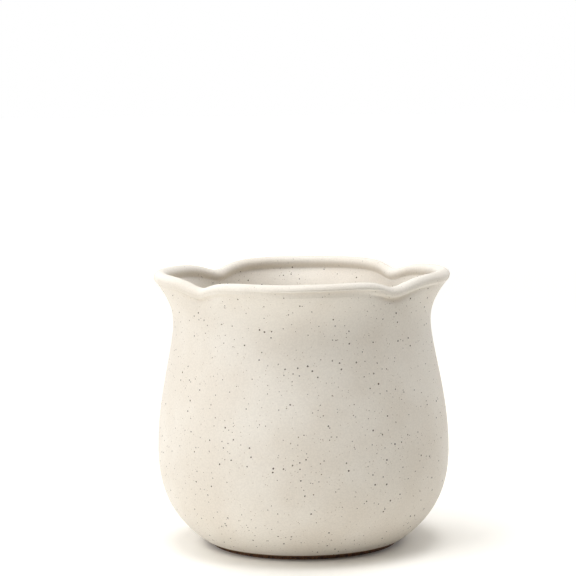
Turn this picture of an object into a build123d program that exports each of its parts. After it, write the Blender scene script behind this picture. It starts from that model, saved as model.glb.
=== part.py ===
from build123d import *
import math
import os

# A bellied stoneware crock for the kitchen counter. The pot is one piece of glazed clay: a round
# belly on a narrow foot, a drawn-in neck, and a flared rim that is pressed in at four places, so
# that it opens into four lobes. A cork pad is stuck under its unglazed foot ring.
# Millimetres, +Z up, origin at the centre of the pad's underside. The lobes point along X and Y.

# Overall sizes
height = 155.6  # from the table to the ridge of the front and back lobes
rim_radius = 84.5  # outermost reach of the front, back and side lobes
belly_radius = 83.0  # widest part of the belly
belly_height = 55.0  # height of that widest part above the table
neck_radius = 73.0  # narrowest part above the belly
rim_depth = 28.6  # from the ridge down to the neck
foot_radius = 55.8  # outer edge of the foot ring

# Clay
wall = 4.8
floor_thickness = 6.0  # above the foot ring's flat
foot_ring_width = 9.0
foot_recess_depth = 1.2  # hollow inside the foot ring
foot_edge_round = 0.9
recess_edge_bevel = 0.5

# Lip: the wall's edge is rolled into a bead, with a crease under it on both sides
lip_radius = 3.75
crease_round = 1.0
lip_start_deg = -60.0  # where the bead leaves the outer crease, seen in section
lip_end_deg = 216.0  # where it enters the inner crease

# Pinches between the lobes: two in front, two behind
front_half_deg = 47.0  # from the middle of the front lobe to its pinches, 45 would be even lobes
pinch_depth = 9.2  # how far the ridge is pressed in at a pinch
pinch_dip = 4.6  # how far the ridge drops there
side_lift = 0.3  # how far the two side lobes rise above the front and back ones
pinch_softness_deg = 2.5  # half width of the rounding at the bottom of a pinch
dip_width_deg = 8.3
dip_power = 1.4
lobe_power = 1.66  # above 1 the lobes are round, at 1 they would be straight

# Slope and fullness of the meridian's three curves, each from its lower to its upper end
foot_slope_deg = 33.3
flare_slope_deg = 51.8
foot_pull_share = 0.357  # of the line from foot to belly
belly_under_share = 0.5  # of the rise from foot to belly
belly_over_share = 0.41  # of the rise from belly to neck
neck_under_share = 0.211
neck_over_share = 0.362  # of the rise from neck to crease
flare_pull_share = 0.44  # of the line from neck to crease
floor_corner_share = 0.2  # part of the lower curve that the rounded floor corner takes up

# Cork pad and the film that holds it
pad_thickness = 2.0
pad_setback = 2.8  # from the edge of the foot ring
film_thickness = 0.2
film_margin = 1.0  # from the film's edges to the pad's edge and to the recess

# Sections of the loft
points_per_ring = 40
pinch_crowding = 0.7  # 0 spaces a ring's points evenly, 1 would crowd them all at the pinches
foot_edge_rings = 2
lower_rings = 12
upper_rings = 13
flare_rings = 5
crease_rings = 2
lip_rings = 11
corner_rings = 3

# Places worked out from the sizes above
foot_height = pad_thickness + film_thickness
floor_height = foot_height + floor_thickness
neck_height = height - rim_depth
recess_radius = foot_radius - foot_ring_width
pad_radius = foot_radius - pad_setback
lip_centre = Vector(rim_radius - lip_radius, height - lip_radius)


def polar(length, degrees):
    """Vector of a length at an angle in the plane of the meridian."""
    angle = math.radians(degrees)
    return Vector(length * math.cos(angle), length * math.sin(angle))


def crease_centre(lip_deg):
    """Centre of the crease arc that touches the bead at an angle."""
    return lip_centre + polar(lip_radius + crease_round, lip_deg)


def foot_to_belly():
    """Outside of the lower body."""
    foot = Vector(foot_radius, foot_height)
    belly = Vector(belly_radius, belly_height)
    foot_pull = polar(foot_pull_share * (belly - foot).length, foot_slope_deg)
    belly_pull = Vector(0, belly_under_share * (belly_height - foot_height))
    return Bezier(foot, foot + foot_pull, belly - belly_pull, belly)


def foot_edge():
    """Rounded edge between the foot ring's flat and the outside."""
    side = foot_to_belly()
    foot = side @ 0
    return Bezier(foot - Vector(foot_edge_round, 0), foot, foot + (side % 0) * foot_edge_round)


def belly_to_neck():
    """Outside of the shoulder."""
    belly = Vector(belly_radius, belly_height)
    neck = Vector(neck_radius, neck_height)
    rise = Vector(0, neck_height - belly_height)
    return Bezier(belly, belly + rise * belly_over_share, neck - rise * neck_under_share, neck)


def neck_to_crease(neck, crease):
    """One face of the flare, upright at the neck and at the flare's slope under the bead."""
    rise = Vector(0, crease.Y - neck.Y)
    pull = polar(flare_pull_share * (crease - neck).length, flare_slope_deg)
    return Bezier(neck, neck + rise * neck_over_share, crease - pull, crease)


def lip_edges():
    """Outer crease, bead and inner crease, from the outside over the top to the inside."""
    outer_wall_deg = flare_slope_deg + 90
    inner_wall_deg = flare_slope_deg - 90
    outer = CenterArc(
        crease_centre(lip_start_deg),
        crease_round,
        outer_wall_deg,
        lip_start_deg + 180 - outer_wall_deg,
    )
    bead = CenterArc(lip_centre, lip_radius, lip_start_deg, lip_end_deg - lip_start_deg)
    inner = CenterArc(
        crease_centre(lip_end_deg),
        crease_round,
        lip_end_deg - 180,
        inner_wall_deg - (lip_end_deg - 180),
    )
    return outer, bead, inner


def inner_point(edge, share):
    """Point on the inside of the wall, square to a place on the outside."""
    tangent = edge % share
    return edge @ share + Vector(-tangent.Y, tangent.X) * wall


def floor_corner():
    """Curve from the wall's inside down to the floor, smooth at both ends."""
    side = foot_to_belly()
    top = inner_point(side, floor_corner_share)
    tangent = side % floor_corner_share
    corner = top - tangent * ((top.Y - floor_height) / tangent.Y)
    end = Vector(corner.X - (top - corner).length, floor_height)
    return Bezier(top, corner, end)


def steps(count, start=0):
    """Even shares of a curve, from just after a start to its end."""
    return [start + (1 - start) * k / count for k in range(1, count + 1)]


def sections():
    """Each section of the loft: a point of the lobes' meridian, and how far the pinches reach it."""
    edge = foot_edge()
    lower = foot_to_belly()
    upper = belly_to_neck()
    outer_crease, bead, inner_crease = lip_edges()
    outer_flare = neck_to_crease(upper @ 1, outer_crease @ 0)
    inner_flare = neck_to_crease(inner_point(upper, 1), inner_crease @ 1)
    corner = floor_corner()

    def reach(flare, point):
        """Share of a flare's spread at a point: none at the neck, all at the crease."""
        return max(0, (point.X - (flare @ 0).X) / ((flare @ 1).X - (flare @ 0).X))

    rows = [(edge @ 0, 0)]
    rows += [(edge @ t, 0) for t in steps(foot_edge_rings)]
    rows += [(lower @ t, 0) for t in steps(lower_rings, foot_edge_round / lower.length)]
    rows += [(upper @ t, 0) for t in steps(upper_rings)]
    rows += [(outer_flare @ t, reach(outer_flare, outer_flare @ t)) for t in steps(flare_rings)]
    rows += [(outer_crease @ t, 1) for t in steps(crease_rings)]
    rows += [(bead @ t, 1) for t in steps(lip_rings)]
    rows += [(inner_crease @ t, 1) for t in steps(crease_rings)]
    for t in steps(flare_rings):
        point = inner_flare @ (1 - t)
        rows.append((point, reach(inner_flare, point)))
    rows += [(inner_point(upper, 1 - t), 0) for t in steps(upper_rings)]
    for t in steps(lower_rings):
        rows.append((inner_point(lower, 1 - t * (1 - floor_corner_share)), 0))
    rows += [(corner @ t, 0) for t in steps(corner_rings)]
    return rows


def azimuth(step):
    """Angle of a ring's point, with the points crowded towards the pinches."""
    even = 2 * math.pi * step / points_per_ring
    wider_front = math.radians(front_half_deg - 45)
    crowded = even + pinch_crowding * math.sin(4 * even) / 4
    return crowded - wider_front * math.sin(2 * even)


def from_pinch(angle):
    """Softened angle in degrees to the nearest pinch, and its share of half a lobe."""
    from_front = abs(math.degrees(angle) % 180 - 90)
    away = abs(from_front - front_half_deg)
    half_lobe = front_half_deg if from_front < front_half_deg else 90 - front_half_deg
    soft = math.hypot(away, pinch_softness_deg) - pinch_softness_deg
    return soft, soft / half_lobe


def ring(point, reach):
    """Closed curve through one meridian point, pressed in and down where the pinches reach it."""
    if reach == 0:
        return Wire([Edge.make_circle(point.X, Plane((0, 0, point.Y)))])
    spots = []
    for step in range(points_per_ring):
        angle = azimuth(step)
        away, away_share = from_pinch(angle)
        press = pinch_depth * (1 - away_share) ** lobe_power
        dip_share = math.exp(-((away / dip_width_deg) ** dip_power))
        lift = side_lift * math.cos(angle) ** 2 * (1 - dip_share) - pinch_dip * dip_share
        radius = point.X - reach * press
        spots.append(
            Vector(radius * math.cos(angle), radius * math.sin(angle), point.Y + reach * lift)
        )
    marks = [float(step) for step in range(points_per_ring + 1)]
    return Wire([Edge.make_spline(spots, periodic=True, parameters=marks)])


def crock_body():
    """The pot: one skin lofted up the outside, over the lip and down the inside to the floor."""
    pot = Solid.make_loft([ring(point, reach) for point, reach in sections()], ruled=True)
    hollow = Location((0, 0, foot_height)) * Cylinder(
        recess_radius,
        foot_recess_depth,
        align=(Align.CENTER, Align.CENTER, Align.MIN),
    )
    pot = pot - hollow
    foot_circles = pot.edges().filter_by(GeomType.CIRCLE).group_by(Axis.Z)[0]
    mouth_of_hollow = foot_circles.sort_by(lambda edge: edge.radius)[0]
    return chamfer(mouth_of_hollow, recess_edge_bevel)


def cork_base_pad():
    """Die-cut cork disc that the crock stands on."""
    return Cylinder(pad_radius, pad_thickness, align=(Align.CENTER, Align.CENTER, Align.MIN))


def pad_adhesive_film():
    """Ring of film between the cork and the foot ring's flat."""
    outside = Circle(pad_radius - film_margin)
    inside = Circle(recess_radius + film_margin)
    return Location((0, 0, pad_thickness)) * extrude(outside - inside, film_thickness)


os.makedirs("parts", exist_ok=True)
export_step(crock_body(), "parts/crock_body.step")
export_step(cork_base_pad(), "parts/cork_base_pad.step")
export_step(pad_adhesive_film(), "parts/pad_adhesive_film.step")
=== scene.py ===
"""Looks of a bellied stoneware crock: speckled glaze, rolled lip with four pinches, cork pad.

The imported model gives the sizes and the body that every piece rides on. The pot is turned again
here as a finer mesh, with the marks that the hand and the kiln leave, and it replaces the plain
one. A disc with a crumbly edge replaces the plain pad. The film keeps its mesh.
Metres, +Z up, lobes along X and Y.
"""

from __future__ import annotations

import logging
import math
from dataclasses import dataclass, field
from enum import Enum

import bmesh
import bpy
from mathutils import Matrix, Vector, noise

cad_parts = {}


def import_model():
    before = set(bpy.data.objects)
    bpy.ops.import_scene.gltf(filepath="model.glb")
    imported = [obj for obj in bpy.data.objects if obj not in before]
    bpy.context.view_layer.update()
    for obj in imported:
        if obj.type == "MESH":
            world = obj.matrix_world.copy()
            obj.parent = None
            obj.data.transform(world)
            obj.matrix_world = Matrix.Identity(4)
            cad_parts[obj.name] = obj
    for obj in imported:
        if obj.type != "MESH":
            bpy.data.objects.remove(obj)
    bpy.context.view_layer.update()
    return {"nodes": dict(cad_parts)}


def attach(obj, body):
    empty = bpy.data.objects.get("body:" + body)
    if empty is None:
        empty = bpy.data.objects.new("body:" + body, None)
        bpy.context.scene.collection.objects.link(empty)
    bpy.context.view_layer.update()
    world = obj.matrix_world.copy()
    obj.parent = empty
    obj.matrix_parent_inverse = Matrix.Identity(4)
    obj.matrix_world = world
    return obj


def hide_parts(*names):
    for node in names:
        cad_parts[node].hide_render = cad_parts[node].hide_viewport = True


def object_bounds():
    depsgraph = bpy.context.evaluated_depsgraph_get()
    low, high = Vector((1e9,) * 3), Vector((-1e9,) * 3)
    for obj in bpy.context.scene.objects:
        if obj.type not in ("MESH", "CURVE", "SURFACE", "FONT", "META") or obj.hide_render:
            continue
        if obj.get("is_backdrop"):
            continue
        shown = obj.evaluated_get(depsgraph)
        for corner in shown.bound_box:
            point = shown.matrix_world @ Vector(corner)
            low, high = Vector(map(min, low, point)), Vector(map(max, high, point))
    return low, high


log = logging.getLogger("crock")

Triple = tuple[float, float, float]
Rgb = tuple[int, int, int]  # an sRGB colour, each part from 0 to 255
Socket = bpy.types.NodeSocket
Value = Socket | float | Triple  # what a node's input takes, a link or a constant

MM = 0.001
SEAM_GAP = 0.002 * MM  # the ends of a spun mesh are merged over this distance
NOISE_RANGE = (0.3, 0.7)  # nearly all values of a noise texture lie in here


class Slot(Enum):
    """Names of the material slots for the glaze and the cork, which nothing here reads."""

    GLAZE = "speckled_glaze"
    CORK = "cork"


class PotFace(Enum):
    """Which material a face of the pot takes."""

    GLAZE = 0
    BARE_CLAY_AND_SHADE = 1


class Layer(Enum):
    """Values that the pot's vertices carry, one for each number in a row of the outline."""

    REACH = "reach"
    BEAD = "bead"
    FOLD = "fold"
    CREASE = "crease"

    def key(self, mesh: bmesh.types.BMesh) -> bmesh.types.BMLayerItem:
        """Key under which a mesh's vertices hold the value."""
        return mesh.verts.layers.float[self.value]


def polar(length: float, degrees: float) -> Vector:
    """Radius and height of a length at an angle from the outward horizontal."""
    angle = math.radians(degrees)
    return Vector((length * math.cos(angle), length * math.sin(angle)))


def bezier(points: list[Vector], share: float) -> Vector:
    """Point on a Bezier curve of any order.

    Args:
        points: Control points.
        share: Place along the curve, from 0 to 1.

    Returns:
        The point at that place.
    """
    while len(points) > 1:
        points = [a.lerp(b, share) for a, b in zip(points, points[1:])]
    return points[0]


def bezier_direction(points: list[Vector], share: float) -> Vector:
    """Unit tangent of a Bezier curve at a place along it, from 0 to 1."""
    sides = [b - a for a, b in zip(points, points[1:])]
    return bezier(sides, share).normalized()


def shares(count: int) -> list[float]:
    """Even places along a curve, from just after its start to its end."""
    return [step / count for step in range(1, count + 1)]


def bump(distance: float, width: float) -> float:
    """Bell curve of height 1, which falls to about a third at its width from the middle."""
    return math.exp(-((distance / width) ** 2))


def cosine(degrees: float) -> float:
    """Cosine of an angle in degrees."""
    return math.cos(math.radians(degrees))


def ramp(value: float, start: float, end: float) -> float:
    """Straight rise from 0 at a start to 1 at an end, flat outside."""
    return max(0.0, min(1.0, (value - start) / (end - start)))


def smooth_step(value: float, start: float, end: float) -> float:
    """Smooth rise from 0 at a start to 1 at an end, which may lie below the start."""
    share = ramp(value, start, end)
    return share * share * (3.0 - 2.0 * share)


def add_chain(mesh: bmesh.types.BMesh, points: list[Vector]) -> list[bmesh.types.BMVert]:
    """Adds an open outline to a mesh, as a chain of edges in the XZ plane.

    Args:
        mesh: The mesh.
        points: Radius and height of each point, in order.

    Returns:
        The new vertices, in the same order.
    """
    vertices = [mesh.verts.new((point.x, 0.0, point.y)) for point in points]
    for pair in zip(vertices, vertices[1:]):
        mesh.edges.new(pair)
    return vertices


def spin_round(mesh: bmesh.types.BMesh, steps: int) -> None:
    """Turns the mesh's edges a full circle about Z, closes the seam and faces it outwards.

    Args:
        mesh: A bmesh that holds one open outline in the XZ plane, from axis to axis.
        steps: Number of segments round the circle.
    """
    bmesh.ops.spin(
        mesh,
        geom=list(mesh.verts) + list(mesh.edges),
        cent=(0.0, 0.0, 0.0),
        axis=(0.0, 0.0, 1.0),
        angle=math.tau,
        steps=steps,
        use_merge=True,
    )
    bmesh.ops.remove_doubles(mesh, verts=mesh.verts, dist=SEAM_GAP)
    bmesh.ops.recalc_face_normals(mesh, faces=mesh.faces)


def new_object(name: str, mesh: bmesh.types.BMesh) -> bpy.types.Object:
    """Turns a bmesh into an object at the origin, shaded smooth.

    Args:
        name: Name of the object and its mesh.
        mesh: The bmesh, which is freed.

    Returns:
        The object, linked to the scene.
    """
    data = bpy.data.meshes.new(name)
    mesh.to_mesh(data)
    mesh.free()
    data.shade_smooth()
    piece = bpy.data.objects.new(name, data)
    bpy.context.scene.collection.objects.link(piece)
    return piece


@dataclass(frozen=True)
class Pinches:
    """The four places where the soft rim was pressed in with a finger."""

    front_half_deg: float = 47.0  # from the front lobe's middle to its pinches, 45 is even
    depth: float = 9.2 * MM  # how far the ridge is pressed in at a pinch
    dip: float = 4.6 * MM  # how far it drops there
    side_lift: float = 0.3 * MM  # how far the side lobes rise above the front and back ones
    softness_deg: float = 2.5
    dip_width_deg: float = 8.3
    dip_power: float = 1.4
    lobe_power: float = 1.66  # above 1 the lobes are round, at 1 they would be straight
    crowding: float = 0.7  # 0 spaces the mesh evenly, 1 would crowd it all at the pinches
    tuck_depth: float = 1.4 * MM  # how deep a finger tucked the clay in under the bead
    tuck_lean: float = 0.6  # how much deeper that is towards +X
    tuck_front_deg: float = 10.0  # how far a tuck reaches along the front or the back lobe
    tuck_side_deg: float = 17.0  # and along a side lobe

    def crowded(self, azimuth: float) -> float:
        """An even azimuth, moved towards the nearest pinch, so that the mesh is finer there."""
        wider_front = math.radians(self.front_half_deg - 45.0) * math.sin(2.0 * azimuth)
        return azimuth + self.crowding * math.sin(4.0 * azimuth) / 4.0 - wider_front

    def from_front(self, azimuth: float) -> float:
        """Angle in degrees from the middle of the front or the back lobe, up to 90."""
        return abs(math.degrees(azimuth) % 180.0 - 90.0)

    def on_front_lobe(self, azimuth: float) -> bool:
        """Whether an azimuth lies on the front or the back lobe."""
        return self.from_front(azimuth) < self.front_half_deg

    def half_lobe_deg(self, azimuth: float) -> float:
        """Half the width of the lobe that an azimuth lies on."""
        return self.front_half_deg if self.on_front_lobe(azimuth) else 90.0 - self.front_half_deg

    def away(self, azimuth: float) -> float:
        """Softened angle in degrees from the nearest pinch."""
        angle = self.from_front(azimuth) - self.front_half_deg
        return math.hypot(angle, self.softness_deg) - self.softness_deg

    def press(self, azimuth: float) -> float:
        """How far the ridge is pressed in at an azimuth, in metres."""
        away_share = self.away(azimuth) / self.half_lobe_deg(azimuth)
        return self.depth * (1.0 - away_share) ** self.lobe_power

    def rise(self, azimuth: float) -> float:
        """How far the ridge stands above the front lobe's, in metres, below zero in a pinch."""
        dip_share = math.exp(-((self.away(azimuth) / self.dip_width_deg) ** self.dip_power))
        return self.side_lift * math.cos(azimuth) ** 2 * (1.0 - dip_share) - self.dip * dip_share

    def tuck(self, azimuth: float) -> float:
        """How deep the clay is tucked in under the bead.

        Args:
            azimuth: The azimuth, in radians.

        Returns:
            The depth in metres.
        """
        width = self.tuck_front_deg if self.on_front_lobe(azimuth) else self.tuck_side_deg
        lean = 1.0 + self.tuck_lean * math.cos(azimuth)
        return self.tuck_depth * lean * bump(self.away(azimuth), width)


@dataclass(frozen=True)
class Row:
    """One point of the outline, and what the hand did to the clay there."""

    point: Vector
    reach: float = 0.0  # how far the pinches reach it
    bead: float = 0.0  # 1 on the bead
    fold: float = 0.0  # depth of the ledge under the front lobe's bead, in metres
    crease: float = 0.0  # 1 at the bottom of the crease under the bead


@dataclass(frozen=True)
class Outline:
    """The lobes' meridian, from the hollow under the foot, up, over the lip and down inside."""

    height: float = 155.5 * MM  # this and the rim's radius keep the lip inside the plain model
    rim_radius: float = 84.35 * MM
    belly_radius: float = 83.0 * MM
    belly_height: float = 55.0 * MM
    neck_radius: float = 73.0 * MM
    rim_depth: float = 28.6 * MM  # from the ridge down to the neck
    foot_radius: float = 55.8 * MM
    foot_height: float = 2.2 * MM
    wall: float = 4.8 * MM
    floor_thickness: float = 6.0 * MM

    foot_ring_width: float = 9.0 * MM
    recess_depth: float = 1.2 * MM
    recess_edge_round: float = 0.5 * MM
    foot_edge_round: float = 0.9 * MM
    foot_flat_margin: float = 2.7 * MM  # from the last point of the ring's flat to its edge

    foot_slope_deg: float = 33.3
    foot_pull_share: float = 0.357
    belly_under_share: float = 0.5
    belly_over_share: float = 0.41
    neck_under_share: float = 0.211
    neck_over_share: float = 0.362
    flare_slope_deg: float = 51.8
    flare_pull_share: float = 0.44
    floor_corner_share: float = 0.2

    lip_radius: float = 3.75 * MM
    lip_start_deg: float = -60.0  # where the bead leaves the outer crease, seen in section
    crease_round: float = 1.2 * MM
    seam_deg: float = 11.0  # a shallow line along the bead's outside
    seam_width_deg: float = 4.0
    seam_depth: float = 0.26 * MM
    ledge_from_deg: float = 3.0  # from here down the bead's underside is cut back
    ledge_to_deg: float = -5.0  # and from here on as far as the groove's line
    groove_line: float = 1.5 * MM  # from the bead's centre out to the groove's line
    groove_slope_deg: float = 86.0
    groove_fade: float = 6.0  # power of the reach with which the groove fades out down the flare
    crease_fade: float = 12.0
    crease_spread_deg: float = 20.0  # how far the tucks reach up the bead

    body_steps: int = 12
    flare_steps: int = 9
    flare_crowding: float = 1.5  # above 1 the rows are closer towards the bead
    crease_steps: int = 4
    # Stretches of the bead: the angle at which each ends, and its number of rows.
    lip_spans: tuple[tuple[float, int], ...] = ((-8.0, 7), (24.0, 18), (216.0, 24))
    corner_steps: int = 5
    edge_steps: int = 4

    @property
    def lip_end_deg(self) -> float:
        """Angle on the bead where it enters the inner crease."""
        return self.lip_spans[-1][0]

    @property
    def neck_height(self) -> float:
        """Height of the narrowest part above the belly."""
        return self.height - self.rim_depth

    @property
    def floor_height(self) -> float:
        """Height of the well's floor."""
        return self.foot_height + self.floor_thickness

    @property
    def lip_centre(self) -> Vector:
        """Centre of the bead over the front lobe."""
        return Vector((self.rim_radius - self.lip_radius, self.height - self.lip_radius))

    def lower_curve(self) -> list[Vector]:
        """Shape of the outside from foot to belly.

        Returns:
            Four control points.
        """
        foot = Vector((self.foot_radius, self.foot_height))
        belly = Vector((self.belly_radius, self.belly_height))
        foot_pull = polar(self.foot_pull_share * (belly - foot).length, self.foot_slope_deg)
        under = Vector((0.0, self.belly_under_share * (self.belly_height - self.foot_height)))
        return [foot, foot + foot_pull, belly - under, belly]

    def upper_curve(self) -> list[Vector]:
        """Shape of the outside from belly to neck.

        Returns:
            Four control points.
        """
        belly = Vector((self.belly_radius, self.belly_height))
        neck = Vector((self.neck_radius, self.neck_height))
        rise = Vector((0.0, self.neck_height - self.belly_height))
        over, under = rise * self.belly_over_share, rise * self.neck_under_share
        return [belly, belly + over, neck - under, neck]

    def flare_curve(self, neck: Vector, crease: Vector) -> list[Vector]:
        """Control points of one face of the flare.

        Args:
            neck: Point at the neck, where the face is upright.
            crease: Point under the bead, where it has the flare's slope.

        Returns:
            Four control points from the neck to the crease.
        """
        rise = Vector((0.0, crease.y - neck.y))
        pull = polar(self.flare_pull_share * (crease - neck).length, self.flare_slope_deg)
        return [neck, neck + rise * self.neck_over_share, crease - pull, crease]

    def crease_point(self, lip_deg: float, degrees: float) -> Vector:
        """Point at an angle on the crease arc, which touches the bead at its own angle."""
        centre = self.lip_centre + polar(self.lip_radius + self.crease_round, lip_deg)
        return centre + polar(self.crease_round, degrees)

    def ledge_depth(self, degrees: float) -> float:
        """How far the bead's underside is cut back, so that a steep groove runs up to a ledge.

        Args:
            degrees: Angle on the bead.

        Returns:
            The depth in metres, none above the ledge.
        """
        if degrees > self.ledge_from_deg:
            return 0.0
        onset = smooth_step(degrees, self.ledge_from_deg, self.ledge_to_deg)
        slant = cosine(degrees + 90.0 - self.groove_slope_deg)
        return onset * (self.lip_radius - self.groove_line / slant)

    def groove_depth(self, point: Vector) -> float:
        """How far a point of the flare lies outside the groove's line, square to the flare."""
        out = (point - self.lip_centre).dot(polar(1.0, self.groove_slope_deg - 90.0))
        return (out - self.groove_line) / cosine(self.groove_slope_deg - self.flare_slope_deg)

    def inside(self, curve: list[Vector], share: float) -> Vector:
        """Point on the wall's inside, square to a place on the outside."""
        direction = bezier_direction(curve, share)
        return bezier(curve, share) + Vector((-direction.y, direction.x)) * self.wall

    def underside(self) -> list[Vector]:
        """Shape of the hollow under the foot and of the foot ring's flat.

        Returns:
            The points, from the axis outwards.
        """
        recess_radius = self.foot_radius - self.foot_ring_width
        roof = self.foot_height + self.recess_depth
        edge = self.recess_edge_round
        spots = (
            (0.0, roof),
            (recess_radius / 2.0, roof),
            (recess_radius - edge, roof),
            (recess_radius, roof - edge / 2.0),
            (recess_radius, self.foot_height + edge),
            (recess_radius + edge, self.foot_height),
            (self.foot_radius - self.foot_flat_margin, self.foot_height),
        )
        return [Vector(spot) for spot in spots]

    def foot_edge(self) -> list[Vector]:
        """Shape of the rounded edge where the glaze stops.

        Returns:
            The points, upwards.
        """
        start = Vector((self.foot_radius - self.foot_edge_round, self.foot_height))
        corner = Vector((self.foot_radius, self.foot_height))
        end = corner + bezier_direction(self.lower_curve(), 0.0) * self.foot_edge_round
        return [start] + [bezier([start, corner, end], share) for share in shares(self.edge_steps)]

    def floor_points(self) -> list[Vector]:
        """Shape of the well's rounded corner and of its floor.

        Returns:
            The points, inwards to the axis.
        """
        lower = self.lower_curve()
        top = self.inside(lower, self.floor_corner_share)
        direction = bezier_direction(lower, self.floor_corner_share)
        corner = top - direction * ((top.y - self.floor_height) / direction.y)
        end = Vector((corner.x - (top - corner).length, self.floor_height))
        curve = [bezier([top, corner, end], share) for share in shares(self.corner_steps)]
        return curve + [Vector((end.x / 2.0, self.floor_height)), Vector((0.0, self.floor_height))]

    def flare_rows(
        self, curve: list[Vector], places: list[float], fold: float = 0.0, crease: float = 0.0
    ) -> list[Row]:
        """Rows of one face of the flare.

        Args:
            curve: Control points from the neck to the crease.
            places: Shares of the curve, in the order that the outline takes them.
            fold: How deep the fold is at the crease, from where it fades out.
            crease: The crease's share there.

        Returns:
            One row for each place.
        """
        rows = []
        for share in places:
            point = bezier(curve, share)
            reach = max(0.0, (point.x - curve[0].x) / (curve[-1].x - curve[0].x))
            fading_fold = fold * reach**self.groove_fade
            fading_crease = crease * reach**self.crease_fade
            rows.append(Row(point, reach, fold=fading_fold, crease=fading_crease))
        return rows

    def outside_rows(self) -> list[Row]:
        """Outside of the body.

        Returns:
            The rows from the hollow under the foot up to the neck.
        """
        lower, upper = self.lower_curve(), self.upper_curve()
        rows = [Row(point) for point in self.underside() + self.foot_edge()]
        start = self.foot_edge_round / (lower[-1] - lower[0]).length
        places = [start + (1.0 - start) * share for share in shares(self.body_steps)]
        rows += [Row(bezier(lower, place)) for place in places]
        return rows + [Row(bezier(upper, share)) for share in shares(self.body_steps)]

    def outer_rim_rows(self) -> list[Row]:
        """Outside of the flare.

        Returns:
            The rows of the flare and of the crease under the bead.
        """
        wall_deg = self.flare_slope_deg + 90.0
        flare_end = self.crease_point(self.lip_start_deg, wall_deg)
        flare = self.flare_curve(self.upper_curve()[-1], flare_end)
        flare_depth = self.groove_depth(flare_end)
        corner_depth = self.ledge_depth(self.lip_start_deg)
        places = [1.0 - (1.0 - share) ** self.flare_crowding for share in shares(self.flare_steps)]
        rows = self.flare_rows(flare, places, flare_depth, 1.0)
        for share in shares(self.crease_steps):
            degrees = wall_deg + share * (self.lip_start_deg + 180.0 - wall_deg)
            point = self.crease_point(self.lip_start_deg, degrees)
            fold = flare_depth + share * (corner_depth - flare_depth)
            rows.append(Row(point, reach=1.0, fold=fold, crease=1.0))
        return rows

    def lip_rows(self) -> list[Row]:
        """The bead, finer at its seam and at the ledge where its edge was folded over.

        Returns:
            The rows from the outer crease over the top to the inner one.
        """
        rows = []
        start = self.lip_start_deg
        for end, count in self.lip_spans:
            for share in shares(count):
                degrees = start + share * (end - start)
                point = self.lip_centre + polar(self.lip_radius, degrees)
                seam = self.seam_depth * bump(degrees - self.seam_deg, self.seam_width_deg)
                fold = seam + self.ledge_depth(degrees)
                crease = bump(degrees - self.lip_start_deg, self.crease_spread_deg)
                rows.append(Row(point, reach=1.0, bead=1.0, fold=fold, crease=crease))
            start = end
        return rows

    def inner_rim_rows(self) -> list[Row]:
        """Inside of the flare.

        Returns:
            The rows of the crease inside the bead and of the flare, down to the neck.
        """
        wall_deg = self.flare_slope_deg - 90.0
        start_deg = self.lip_end_deg - 180.0
        rows = []
        for share in shares(self.crease_steps):
            degrees = start_deg + share * (wall_deg - start_deg)
            rows.append(Row(self.crease_point(self.lip_end_deg, degrees), reach=1.0))
        neck = self.inside(self.upper_curve(), 1.0)
        flare = self.flare_curve(neck, self.crease_point(self.lip_end_deg, wall_deg))
        places = [1.0 - share for share in shares(self.flare_steps)]
        return rows + self.flare_rows(flare, places)

    def inside_rows(self) -> list[Row]:
        """Inside of the body.

        Returns:
            The rows from the neck down to the middle of the well's floor.
        """
        lower, upper = self.lower_curve(), self.upper_curve()
        rows = [Row(self.inside(upper, 1.0 - share)) for share in shares(self.body_steps)]
        wall_share = 1.0 - self.floor_corner_share
        places = [1.0 - wall_share * share for share in shares(self.body_steps)]
        rows += [Row(self.inside(lower, place)) for place in places]
        return rows + [Row(point) for point in self.floor_points()]

    def rows(self) -> list[Row]:
        """Every row of the outline, in order, from axis to axis."""
        outer = self.outside_rows() + self.outer_rim_rows()
        return outer + self.lip_rows() + self.inner_rim_rows() + self.inside_rows()


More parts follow.
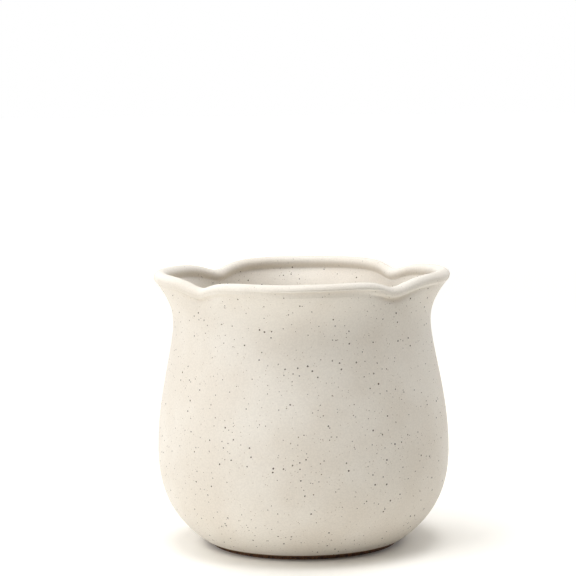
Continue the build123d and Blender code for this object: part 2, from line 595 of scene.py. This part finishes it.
@dataclass(frozen=True)
class HandMarks:
    """Slow unevenness that the mould, the hand and the kiln leave."""

    sway: float = 0.25 * MM  # in and out over the whole body
    sway_scale: float = 22.0  # waves per metre
    calm_zone: tuple[float, float] = (6.0 * MM, 26.0 * MM)  # heights between which it sets in
    lip_sway: float = 0.2 * MM
    lip_scale: float = 60.0
    out_seed: Triple = (3.1, 0.0, 0.0)  # moves the noise, so that no two wanderings match
    lift_seed: Triple = (0.0, 7.7, 0.0)
    edge_wave: float = 0.18 * MM  # of the glaze's lower edge
    edge_scale: float = 5.5  # waves for each radius
    edge_width: float = 2.0 * MM
    edge_height: float = 1.5 * MM
    fold_turn: float = 0.22  # where the fold is deepest, in radians from the front towards +X
    fold_span: tuple[float, float] = (0.22, 0.5)  # how far from there it starts and ends to fade
    fold_least: float = 0.08

    def fold_share(self, place: Vector) -> float:
        """How much of the bead's fold is left open at a place."""
        turn = abs(math.atan2(place.x, -place.y) - self.fold_turn)
        return 1.0 - (1.0 - self.fold_least) * smooth_step(turn, *self.fold_span)

    def edge_nearness(self, out: float, up: float) -> float:
        """1 at the glaze's lower edge, near 0 a few millimetres out or up from it."""
        return bump(out, self.edge_width) * bump(up, self.edge_height)

    def shift(self, place: Vector, reach: float, edge_nearness: float) -> Vector:
        """Small offset of a vertex.

        Args:
            place: Where the vertex is.
            reach: 1 on the lip, 0 from the neck down.
            edge_nearness: 1 at the glaze's lower edge, 0 away from it.

        Returns:
            The offset in metres.
        """
        outward = Vector((place.x, place.y, 0.0))
        if outward.length < MM:
            return Vector()
        outward.normalize()
        on_lip = place * self.lip_scale
        slow = noise.noise(place * self.sway_scale) * self.sway * ramp(place.z, *self.calm_zone)
        out = noise.noise(on_lip + Vector(self.out_seed)) * self.lip_sway * reach
        lift = noise.noise(on_lip + Vector(self.lift_seed)) * self.lip_sway * reach
        wave = noise.noise(outward * self.edge_scale) * self.edge_wave * edge_nearness
        return outward * (slow + out + wave) + Vector((0.0, 0.0, lift))


@dataclass
class Pot:
    """The glazed pot."""

    name: str = "crock_pot"
    node: str = "crock_body"
    outline: Outline = field(default_factory=Outline)
    pinches: Pinches = field(default_factory=Pinches)
    marks: HandMarks = field(default_factory=HandMarks)
    steps: int = 160
    clay_and_shade_strip: float = 0.45 * MM  # of clay that shows under the glaze's edge, partly painted shade that thickens the dark band above the pad
    roof_margin: float = 0.3 * MM  # how far above the hollow's roof a face still belongs to it

    def outline_mesh(self) -> bmesh.types.BMesh:
        """The outline as a chain of edges, with each row's values on its vertex.

        Returns:
            A bmesh with one open chain in the XZ plane.
        """
        mesh = bmesh.new()
        for layer in Layer:
            mesh.verts.layers.float.new(layer.value)
        rows = self.outline.rows()
        vertices = add_chain(mesh, [row.point for row in rows])
        for layer in Layer:
            key = layer.key(mesh)
            for vertex, row in zip(vertices, rows):
                vertex[key] = getattr(row, layer.value)
        return mesh

    def press_lobes(self, mesh: bmesh.types.BMesh) -> None:
        """Crowds the spun mesh towards the pinches, then presses them in and down.

        Args:
            mesh: The spun pot.
        """
        reach_key = Layer.REACH.key(mesh)
        for vertex in mesh.verts:
            radius = math.hypot(vertex.co.x, vertex.co.y)
            if radius < MM:
                continue
            azimuth = self.pinches.crowded(math.atan2(vertex.co.y, vertex.co.x))
            reach = vertex[reach_key]
            radius -= reach * self.pinches.press(azimuth)
            height = vertex.co.z + reach * self.pinches.rise(azimuth)
            vertex.co = Vector((radius * math.cos(azimuth), radius * math.sin(azimuth), height))

    def leave_marks(self, mesh: bmesh.types.BMesh) -> None:
        """Cuts the fold and the tucks under the bead, and adds the slow unevenness.

        Args:
            mesh: The pressed pot.
        """
        reach_key, fold_key = Layer.REACH.key(mesh), Layer.FOLD.key(mesh)
        crease_key = Layer.CREASE.key(mesh)
        mesh.normal_update()
        for vertex in mesh.verts:
            fold = vertex[fold_key] * self.marks.fold_share(vertex.co)
            tuck = self.pinches.tuck(math.atan2(vertex.co.y, vertex.co.x))
            vertex.co -= vertex.normal * (fold + vertex[crease_key] * tuck)
            out = math.hypot(vertex.co.x, vertex.co.y) - self.outline.foot_radius
            nearness = self.marks.edge_nearness(out, vertex.co.z - self.outline.foot_height)
            vertex.co += self.marks.shift(vertex.co, vertex[reach_key], nearness)

    def finish_faces(self, mesh: bmesh.types.BMesh) -> None:
        """Gives the faces under the foot and just above its edge the bare clay.

        Args:
            mesh: The pot.
        """
        outline = self.outline
        limit = outline.foot_radius - outline.foot_edge_round / 2.0
        roof = outline.foot_height + outline.recess_depth + self.roof_margin
        # Bare clay up to here: partly the real unglazed foot, partly painted shade of the dark
        # band above the pad.
        glaze_edge = outline.foot_height + self.clay_and_shade_strip
        for face in mesh.faces:
            centre = face.calc_center_median()
            inward = math.hypot(centre.x, centre.y) < limit
            under = centre.z < glaze_edge or (inward and centre.z < roof)
            face.material_index = (PotFace.BARE_CLAY_AND_SHADE if under else PotFace.GLAZE).value

    def build(self, glaze: bpy.types.Material, clay: bpy.types.Material) -> bpy.types.Object:
        """Turns, presses and dresses the pot.

        Args:
            glaze: Finish of the glazed faces.
            clay: Finish of the foot ring and its hollow, and of the strip above the foot's edge,
                where it is partly painted shade.

        Returns:
            The finished piece.
        """
        mesh = self.outline_mesh()
        spin_round(mesh, self.steps)
        self.press_lobes(mesh)
        self.leave_marks(mesh)
        self.finish_faces(mesh)
        piece = new_object(self.name, mesh)
        piece.data.materials.append(glaze)
        piece.data.materials.append(clay)
        smooth = piece.modifiers.new("smooth", "SUBSURF")
        smooth.levels = 1
        smooth.render_levels = 1
        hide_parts(self.node)
        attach(piece, "root")
        return piece


@dataclass
class BasePad:
    """The cork disc under the foot."""

    name: str = "cork_pad"
    node: str = "cork_base_pad"
    radius: float = 53.0 * MM
    thickness: float = 2.0 * MM
    edge_band: float = 2.0 * MM  # width of the outermost ring of each flat face
    edge_round: float = 0.35 * MM
    edge_steps: int = 3
    steps: int = 240
    crumble: float = 0.12 * MM  # how deep the cut edge is crumbled
    crumble_scale: float = 900.0
    crumble_band: float = 1.0 * MM  # how far in from the edge

    def outline_points(self) -> list[Vector]:
        """Outline of the disc.

        Returns:
            The points, from the underside's middle round the edge to the top's.
        """
        middle, band = self.radius / 2.0, self.radius - self.edge_band
        low = Vector((self.radius - self.edge_round, self.edge_round))
        high = Vector((low.x, self.thickness - self.edge_round))
        points = [Vector((radius, 0.0)) for radius in (0.0, middle, band)]
        for centre, first_deg in ((low, -90.0), (high, 0.0)):
            for step in range(self.edge_steps + 1):
                degrees = first_deg + 90.0 * step / self.edge_steps
                points.append(centre + polar(self.edge_round, degrees))
        return points + [Vector((radius, self.thickness)) for radius in (band, middle, 0.0)]

    def crumble_edge(self, mesh: bmesh.types.BMesh) -> None:
        """Roughens the disc's cut edge.

        Args:
            mesh: The spun disc.
        """
        for vertex in mesh.verts:
            outward = Vector((vertex.co.x, vertex.co.y, 0.0))
            if outward.length > self.radius - self.crumble_band:
                missing = (1.0 + noise.noise(vertex.co * self.crumble_scale)) / 2.0
                vertex.co -= outward.normalized() * self.crumble * missing

    def build(self, cork: bpy.types.Material) -> bpy.types.Object:
        """Turns and dresses the disc.

        Args:
            cork: Finish of the pad.

        Returns:
            The finished piece.
        """
        mesh = bmesh.new()
        add_chain(mesh, self.outline_points())
        spin_round(mesh, self.steps)
        self.crumble_edge(mesh)
        piece = new_object(self.name, mesh)
        piece.data.materials.append(cork)
        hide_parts(self.node)
        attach(piece, "root")
        return piece


@dataclass(frozen=True)
class Grain:
    """Settings of a noise texture."""

    scale: float  # waves per metre
    detail: float  # octaves
    rough: float = 0.5  # how strong the fine octaves are


@dataclass(frozen=True)
class Relief:
    """Fine unevenness of a surface."""

    grain: Grain
    strength: float
    depth: float  # what a height of 1 stands for, in metres


class Nodes:
    """Short way to add and link the nodes of one material."""

    MIX_COLOURS = (6, 7)  # sockets of a mix node that take its two colours
    MIX_RESULT = 2

    def __init__(self, name: str) -> None:
        """Makes an empty material with its output and one principled shader.

        Args:
            name: Name of the material.
        """
        self.material = bpy.data.materials.new(name)
        self.material.use_nodes = True
        self.tree = self.material.node_tree
        self.shader = self.tree.nodes["Principled BSDF"]
        self.place = self.add("ShaderNodeTexCoord").outputs["Object"]

    def add(
        self, kind: str, values: dict[str | int, Value] | None = None, **settings: object
    ) -> bpy.types.Node:
        """Adds a node.

        Args:
            kind: Blender's name of the node type.
            values: What its inputs take, by their names or numbers.
            **settings: Properties of the node.

        Returns:
            The node.
        """
        node = self.tree.nodes.new(kind)
        for key, setting in settings.items():
            setattr(node, key, setting)
        self.fill(node, values or {})
        return node

    def fill(self, node: bpy.types.Node, values: dict[str | int, Value]) -> None:
        """Links a node's inputs or sets them.

        Args:
            node: The node.
            values: What its inputs take, by their names or numbers.
        """
        for key, value in values.items():
            target = node.inputs[key]
            if isinstance(value, Socket):
                self.tree.links.new(value, target)
            elif target.type == "RGBA":
                target.default_value = (*value, 1.0)
            else:
                target.default_value = value

    def dress(self, colour: Value, roughness: Value, shine: float = 0.5) -> None:
        """Gives the shader its colour, its roughness and how strongly it reflects."""
        values = {"Base Color": colour, "Roughness": roughness, "Specular IOR Level": shine}
        self.fill(self.shader, values)

    def noise(self, grain: Grain) -> bpy.types.Node:
        """Noise over the object's own space, with the settings of a grain."""
        values = {"Scale": grain.scale, "Detail": grain.detail, "Roughness": grain.rough}
        return self.add("ShaderNodeTexNoise", values | {"Vector": self.place})

    def patches(self, grain: Grain, low: float = 0.0, high: float = 1.0) -> Socket:
        """Soft patches whose values spread from a low one to a high one."""
        return self.remap(self.noise(grain).outputs["Fac"], *NOISE_RANGE, low, high)

    def cells(self, size: float, feature: str, place: Socket) -> bpy.types.Node:
        """Voronoi cells of a size in metres, with Blender's name of what they measure."""
        values = {"Scale": 1.0 / size, "Vector": place}
        return self.add("ShaderNodeTexVoronoi", values, voronoi_dimensions="3D", feature=feature)

    def cell_values(self, cells: bpy.types.Node) -> tuple[Socket, Socket]:
        """Two random values from 0 to 1 that each cell has, as its red and its green."""
        split = self.add("ShaderNodeSeparateColor", {"Color": cells.outputs["Color"]})
        return split.outputs["Red"], split.outputs["Green"]

    def remap(
        self, value: Socket, low: float, high: float, to_low: float = 0.0, to_high: float = 1.0
    ) -> Socket:
        """Maps a range of a value smoothly onto another, clamped.

        Args:
            value: The value.
            low: Start of its range.
            high: End of its range.
            to_low: What the start becomes.
            to_high: What the end becomes.

        Returns:
            The mapped value.
        """
        values = {"Value": value, "From Min": low, "From Max": high}
        values |= {"To Min": to_low, "To Max": to_high}
        node = self.add("ShaderNodeMapRange", values, interpolation_type="SMOOTHSTEP")
        return node.outputs["Result"]

    def combine(self, kind: str, first: Value, second: Value) -> Socket:
        """One value worked out from two, by Blender's name of the operation."""
        return self.add("ShaderNodeMath", {0: first, 1: second}, operation=kind).outputs[0]

    def mix(self, share: Socket, first: Value, second: Value) -> Socket:
        """Mixes two colours.

        Args:
            share: How much of the second colour.
            first: A colour.
            second: A colour.

        Returns:
            The mixed colour.
        """
        values = {"Factor": share, **dict(zip(self.MIX_COLOURS, (first, second)))}
        node = self.add("ShaderNodeMix", values, data_type="RGBA", clamp_factor=True)
        return node.outputs[self.MIX_RESULT]

    def raise_surface(self, height: Socket, strength: float, depth: float) -> None:
        """Puts a bump in front of the shader's normal, over what is there already.

        Args:
            height: Height from 0 to 1.
            strength: Strength of the bump.
            depth: What a height of 1 stands for, in metres.
        """
        values = {"Height": height, "Strength": strength, "Distance": depth}
        normal = self.shader.inputs["Normal"]
        if normal.is_linked:
            values["Normal"] = normal.links[0].from_socket
        raised = self.add("ShaderNodeBump", values)
        self.fill(self.shader, {"Normal": raised.outputs["Normal"]})

    def roughen(self, relief: Relief) -> None:
        """Puts a relief on the surface."""
        height = self.noise(relief.grain).outputs["Fac"]
        self.raise_surface(height, relief.strength, relief.depth)


def linear(colour: Rgb) -> Triple:
    """Linear parts of an sRGB colour, by the standard's own curve.

    Args:
        colour: The sRGB colour.

    Returns:
        The three linear parts, from 0 to 1.
    """
    parts = []
    for part in colour:
        value = part / 255.0
        parts.append(value / 12.92 if value <= 0.04045 else ((value + 0.055) / 1.055) ** 2.4)
    return tuple(parts)


@dataclass(frozen=True)
class SpeckleLayer:
    """One size of speck in the glaze."""

    spacing: float  # size of the cells that each hold one speck at most
    radius: float  # of the largest
    share: float  # of the cells that hold one
    colour: Rgb
    strength: float


@dataclass(frozen=True)
class SpeckledGlaze:
    """Warm white satin glaze with iron specks that burn through from the clay."""

    body: Rgb = (236, 230, 220)
    thick: Rgb = (229, 221, 209)  # where the glaze pooled
    tone: Grain = Grain(26.0, 3.0)
    mottle: Grain = Grain(1000.0, 1.0)
    mottle_depth: float = 0.03
    roughness: tuple[float, float] = (0.42, 0.51)
    sheen: Grain = Grain(380.0, 2.0)
    shine: float = 0.35
    skin: Relief = Relief(Grain(210.0, 2.0), 0.12, 0.2 * MM)
    bead_cover: float = 0.75  # how much of the specks the thicker glaze on the bead hides
    wobble_waves: float = 0.9  # waves of a speck's outline, for each radius
    wobble_detail: float = 2.0
    wobble_push: float = 1.1  # how far it wanders, in radii
    smallest: float = 0.35  # radius of the smallest speck, as a share of the largest
    softness: float = 0.15  # width of a speck's blurred edge, in radii
    layers: tuple[SpeckleLayer, ...] = (
        SpeckleLayer(3.7 * MM, 0.53 * MM, 0.90, (60, 32, 8), 1.0),
        SpeckleLayer(2.9 * MM, 0.37 * MM, 0.90, (92, 62, 34), 0.95),
        SpeckleLayer(1.75 * MM, 0.24 * MM, 0.90, (138, 108, 74), 0.82),
    )

    def specks(self, nodes: Nodes, layer: SpeckleLayer) -> Socket:
        """Mask of one layer of specks.

        Args:
            nodes: The material's nodes.
            layer: The layer.

        Returns:
            1 in a speck, 0 outside.
        """
        wobble = nodes.noise(Grain(self.wobble_waves / layer.radius, self.wobble_detail))
        stride = (layer.radius * self.wobble_push,) * 3
        push = {0: wobble.outputs["Color"], 1: stride, 2: nodes.place}
        pushed = nodes.add("ShaderNodeVectorMath", push, operation="MULTIPLY_ADD")
        cells = nodes.cells(layer.spacing, "F1", pushed.outputs["Vector"])
        chance, growth = nodes.cell_values(cells)
        radius = layer.radius / layer.spacing
        size = nodes.remap(growth, 0.0, 1.0, self.smallest, 1.0)
        reach = nodes.combine("MULTIPLY", size, radius)
        near = nodes.combine("SUBTRACT", reach, cells.outputs["Distance"])
        dot = nodes.remap(near, 0.0, self.softness * radius)
        chosen = nodes.combine("LESS_THAN", chance, layer.share)
        return nodes.combine("MULTIPLY", dot, chosen)

    def mottled(self, nodes: Nodes, colour: Socket) -> Socket:
        """Lightens and darkens a colour in fine spots, as the glaze's own grain does.

        Args:
            nodes: The material's nodes.
            colour: The colour.

        Returns:
            The mottled colour, as light as before on the whole.
        """
        grain = nodes.patches(self.mottle, 1.0 - self.mottle_depth, 1.0 + self.mottle_depth)
        scaled = nodes.add("ShaderNodeVectorMath", {0: colour, "Scale": grain}, operation="SCALE")
        return scaled.outputs["Vector"]

    def material(self) -> bpy.types.Material:
        """Builds the glaze.

        Returns:
            The material.
        """
        nodes = Nodes("speckled_glaze")
        tone = nodes.patches(self.tone)
        colour = self.mottled(nodes, nodes.mix(tone, linear(self.body), linear(self.thick)))
        bead = nodes.add("ShaderNodeAttribute", attribute_name=Layer.BEAD.value).outputs["Fac"]
        covered = nodes.remap(bead, 0.0, 1.0, 1.0, 1.0 - self.bead_cover)
        for layer in self.layers:
            mask = nodes.combine("MULTIPLY", self.specks(nodes, layer), layer.strength)
            mask = nodes.combine("MULTIPLY", mask, covered)
            colour = nodes.mix(mask, colour, linear(layer.colour))
        nodes.dress(colour, nodes.patches(self.sheen, *self.roughness), self.shine)
        nodes.roughen(self.skin)
        return nodes.material


@dataclass(frozen=True)
class BareClayAndShade:
    """Unglazed foot ring: warm grey-brown, dry and a little gritty, darkened as painted shade for
    the strip above the foot.
    """

    # Browns darker than the clay's own: painted shade of the dark band where the foot meets the
    # pad.
    light: Rgb = (138, 104, 74)
    dark: Rgb = (108, 78, 52)
    tone: Grain = Grain(900.0, 4.0, 0.6)
    roughness: float = 0.85
    grit: Relief = Relief(Grain(2400.0, 3.0, 0.6), 0.35, 0.12 * MM)

    def material(self) -> bpy.types.Material:
        """Builds the clay.

        Returns:
            The material.
        """
        nodes = Nodes("bare_clay_and_shade")
        colour = nodes.mix(nodes.patches(self.tone), linear(self.light), linear(self.dark))
        nodes.dress(colour, self.roughness)
        nodes.roughen(self.grit)
        return nodes.material


@dataclass(frozen=True)
class Cork:
    """Agglomerated cork: small grains of several browns, pressed together."""

    light: Rgb = (118, 80, 48)
    middle: Rgb = (92, 59, 34)
    dark: Rgb = (62, 38, 21)
    grain_size: float = 1.1 * MM
    dark_grains: tuple[float, float] = (0.72, 0.8)  # random value at which a grain turns dark
    joint_width: float = 0.12  # of the dark lines between grains, in grains
    joint_shade: float = 0.5
    roughness: float = 0.8
    joint_strength: float = 0.4
    joint_depth: float = 0.25 * MM
    pores: Relief = Relief(Grain(2600.0, 3.0), 0.2, 0.1 * MM)

    def material(self) -> bpy.types.Material:
        """Builds the cork.

        Returns:
            The material.
        """
        nodes = Nodes("cork")
        light, middle, dark = linear(self.light), linear(self.middle), linear(self.dark)
        shade, fleck = nodes.cell_values(nodes.cells(self.grain_size, "F1", nodes.place))
        colour = nodes.mix(shade, light, middle)
        colour = nodes.mix(nodes.remap(fleck, *self.dark_grains), colour, dark)
        edges = nodes.cells(self.grain_size, "DISTANCE_TO_EDGE", nodes.place).outputs["Distance"]
        joint = nodes.remap(edges, 0.0, self.joint_width, 1.0, 0.0)
        colour = nodes.mix(nodes.combine("MULTIPLY", joint, self.joint_shade), colour, dark)
        nodes.dress(colour, self.roughness)
        nodes.raise_surface(edges, self.joint_strength, self.joint_depth)
        nodes.roughen(self.pores)
        return nodes.material


@dataclass(frozen=True)
class ClearFilm:
    """The adhesive film between cork and clay."""

    tint: Rgb = (206, 198, 180)
    darker_share: float = 0.85
    tone: Grain = Grain(300.0, 2.0)
    roughness: float = 0.45

    def material(self) -> bpy.types.Material:
        """Builds the film.

        Returns:
            The material.
        """
        nodes = Nodes("adhesive_film")
        tint = linear(self.tint)
        darker = tuple(part * self.darker_share for part in tint)
        colour = nodes.mix(nodes.patches(self.tone), tint, darker)
        nodes.dress(colour, self.roughness)
        return nodes.material


@dataclass(frozen=True)
class SoftBox:
    """A square white studio light that faces the crock."""

    name: str
    azimuth_deg: float
    elevation_deg: float
    distance: float
    side: float
    power: float

    def build(self, target: Vector, turn_deg: float) -> None:
        """Adds the light.

        Args:
            target: The point that it faces.
            turn_deg: How far the studio is turned about Z.
        """
        data = bpy.data.lights.new(self.name, "AREA")
        data.shape = "SQUARE"
        data.size = self.side
        data.energy = self.power
        lamp = bpy.data.objects.new(self.name, data)
        azimuth = math.radians(self.azimuth_deg + turn_deg)
        elevation = math.radians(self.elevation_deg)
        level = math.cos(elevation)
        back = Vector((math.sin(azimuth) * level, -math.cos(azimuth) * level, math.sin(elevation)))
        turn = (-back).to_track_quat("-Z", "Y").to_matrix().to_4x4()
        lamp.matrix_world = Matrix.Translation(target + back * self.distance) @ turn
        bpy.context.scene.collection.objects.link(lamp)


@dataclass(frozen=True)
class Glow:
    """Glow of the floor that rises with the distance from the object."""

    shape: Triple  # how much each axis counts in the distance
    start: float
    end: float
    level: float

    def strength(self, nodes: Nodes) -> Socket:
        """Adds the glow to the floor's nodes.

        Args:
            nodes: The floor's nodes.

        Returns:
            The strength of the glow.
        """
        kind = "ShaderNodeVectorMath"
        shaped = nodes.add(kind, {0: nodes.place, 1: self.shape}, operation="MULTIPLY")
        reach = nodes.add(kind, {0: shaped.outputs["Vector"]}, operation="LENGTH")
        return nodes.remap(reach.outputs["Value"], self.start, self.end, 0.0, self.level)


@dataclass
class Studio:
    """Pale floor, plain soft lights and the photograph's camera."""

    lens_mm: float = 150.0
    sensor_mm: float = 36.0
    clip: tuple[float, float] = (0.05, 50.0)  # nearest and farthest distance, in metres
    pitch_deg: float = 6.4
    roll_deg: float = -0.75
    turn_deg: float = 3.0  # of the camera and the lights about the crock
    eye: Triple = (-7.65 * MM, -1352.5 * MM, 296.8 * MM)
    floor_side: float = 12.0
    floor_tint: Triple = (0.94, 0.92, 0.872)
    floor_roughness: float = 0.9
    floor_shine: float = 0.1
    near_glow: Glow = Glow((1.0, 0.55, 1.0), 0.036, 0.082, 0.2)
    far_glow: Glow = Glow((1.0, 1.0, 1.0), 0.5, 2.6, 0.7)
    glow_tint: Triple = (1.0, 0.98, 0.95)
    world_strength: float = 0.17
    boxes: tuple[SoftBox, ...] = (
        SoftBox("key", -62.0, 33.0, 1.6, 1.5, 15.2),
        SoftBox("overhead", 0.0, 88.0, 1.6, 1.0, 19.2),
        SoftBox("back_left", -135.0, 30.0, 1.6, 1.0, 4.0),
        SoftBox("back_right", 123.0, 25.0, 1.6, 1.0, 4.2),
    )

    def camera(self) -> None:
        """Adds the camera and makes it the scene's."""
        data = bpy.data.cameras.new("camera")
        data.lens = self.lens_mm
        data.sensor_width = self.sensor_mm
        data.clip_start, data.clip_end = self.clip
        camera = bpy.data.objects.new("camera", data)
        tilt = Matrix.Rotation(math.radians(90.0 - self.pitch_deg), 4, "X")
        roll = Matrix.Rotation(math.radians(self.roll_deg), 4, "Z")
        turn = Matrix.Rotation(math.radians(self.turn_deg), 4, "Z")
        camera.matrix_world = turn @ Matrix.Translation(self.eye) @ tilt @ roll
        bpy.context.scene.collection.objects.link(camera)
        bpy.context.scene.camera = camera

    def floor(self) -> None:
        """Adds the pale floor, whose glow only the camera, reflections and glass see."""
        mesh = bmesh.new()
        bmesh.ops.create_grid(mesh, x_segments=1, y_segments=1, size=self.floor_side / 2.0)
        floor = new_object("floor", mesh)
        nodes = Nodes("floor")
        nodes.dress(self.floor_tint, self.floor_roughness, self.floor_shine)
        rays = nodes.add("ShaderNodeLightPath").outputs
        seen = nodes.combine("MAXIMUM", rays["Is Camera Ray"], rays["Is Glossy Ray"])
        seen = nodes.combine("MAXIMUM", seen, rays["Is Transmission Ray"])
        near, far = self.near_glow.strength(nodes), self.far_glow.strength(nodes)
        glow = nodes.combine("MULTIPLY", seen, nodes.combine("ADD", near, far))
        nodes.fill(nodes.shader, {"Emission Strength": glow, "Emission Color": self.glow_tint})
        floor.data.materials.append(nodes.material)
        floor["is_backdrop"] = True

    def world(self) -> None:
        """Sets the plain surrounding light, white to the camera, reflections and glass."""
        world = bpy.data.worlds.new("studio")
        bpy.context.scene.world = world
        world.use_nodes = True
        tree = world.node_tree
        background = tree.nodes["Background"]
        rays = tree.nodes.new("ShaderNodeLightPath").outputs
        seen = rays["Is Camera Ray"]
        for ray in ("Is Glossy Ray", "Is Transmission Ray"):
            either = tree.nodes.new("ShaderNodeMath")
            either.operation = "MAXIMUM"
            tree.links.new(seen, either.inputs[0])
            tree.links.new(rays[ray], either.inputs[1])
            seen = either.outputs[0]
        level = tree.nodes.new("ShaderNodeMapRange")
        level.inputs["To Min"].default_value = self.world_strength
        level.inputs["To Max"].default_value = 1.0
        tree.links.new(seen, level.inputs["Value"])
        background.inputs["Color"].default_value = (1.0, 1.0, 1.0, 1.0)
        tree.links.new(level.outputs["Result"], background.inputs["Strength"])

    def build(self) -> None:
        """Sets up the whole studio."""
        bpy.context.scene.view_settings.view_transform = "Standard"
        self.world()
        self.floor()
        low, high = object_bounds()
        target = (low + high) / 2.0
        for box in self.boxes:
            box.build(target, self.turn_deg)
        self.camera()


def dress_film(frame: dict) -> None:
    """Gives the carried-over film its finish.

    Args:
        frame: The loaded frame.
    """
    film = frame["nodes"]["pad_adhesive_film"]
    material = ClearFilm().material()
    for slot in film.material_slots:
        slot.material = material


def main() -> None:
    """Builds every piece and the studio."""
    logging.basicConfig(level=logging.INFO, format="%(name)s: %(message)s")
    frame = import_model()
    pot = Pot().build(SpeckledGlaze().material(), BareClayAndShade().material())
    log.info("pot: %d faces", len(pot.data.polygons))
    pad = BasePad().build(Cork().material())
    log.info("base pad: %d faces", len(pad.data.polygons))
    dress_film(frame)
    log.info("film: the packed mesh, with its finish")
    Studio().build()


if __name__ == "__main__":
    main()
